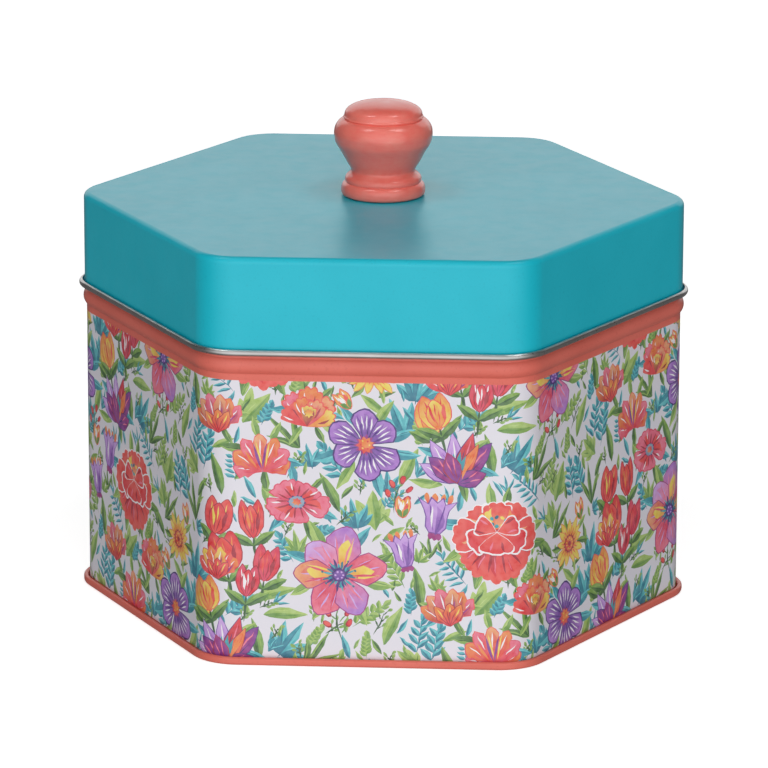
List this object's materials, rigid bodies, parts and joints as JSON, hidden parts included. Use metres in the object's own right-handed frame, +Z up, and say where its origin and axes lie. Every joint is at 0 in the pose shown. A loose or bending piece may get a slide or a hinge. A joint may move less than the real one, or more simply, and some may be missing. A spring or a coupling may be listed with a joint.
{
  "type": "cookie tin",
  "caption": "Hexagonal tinplate storage tin with a stop bead, a double-seamed foot, a lift-off lid with a curled rim, and a turned knob.",
  "frame": {"origin": "centre of the foot, on the plane that the tin stands on", "axes": "+Z up along the knob's axis, two of the six flat sides face -Y and +Y, and two of the six corners point to -X and +X"},
  "size_m": [0.2088, 0.1856, 0.1719],
  "materials": {
    "printed_tinplate": "satin off-white with a printed watercolour garden, coral above it, bare tin inside",
    "coral_lacquer": "satin coral lacquer",
    "teal_lacquer": "semi-gloss teal lacquer outside, bare tin inside and on the curl",
    "coral_gloss_paint": "turned wood under glossy coral paint",
    "brass": "machined",
    "zinc_plated_steel": "zinc plated"
  },
  "bodies": {
    "tin": {"body_wall": "printed_tinplate", "base_panel": "coral_lacquer"},
    "lid": {"lid_shell": "teal_lacquer", "knob": "coral_gloss_paint", "knob_insert": "brass", "knob_washer": "zinc_plated_steel", "knob_screw": "zinc_plated_steel"}
  },
  "joints": [
    {"name": "lid_lift", "type": "slide", "parent": "tin", "child": "lid", "axis": [0, 0, 1], "range_m": [0, 0.15]}
  ]
}
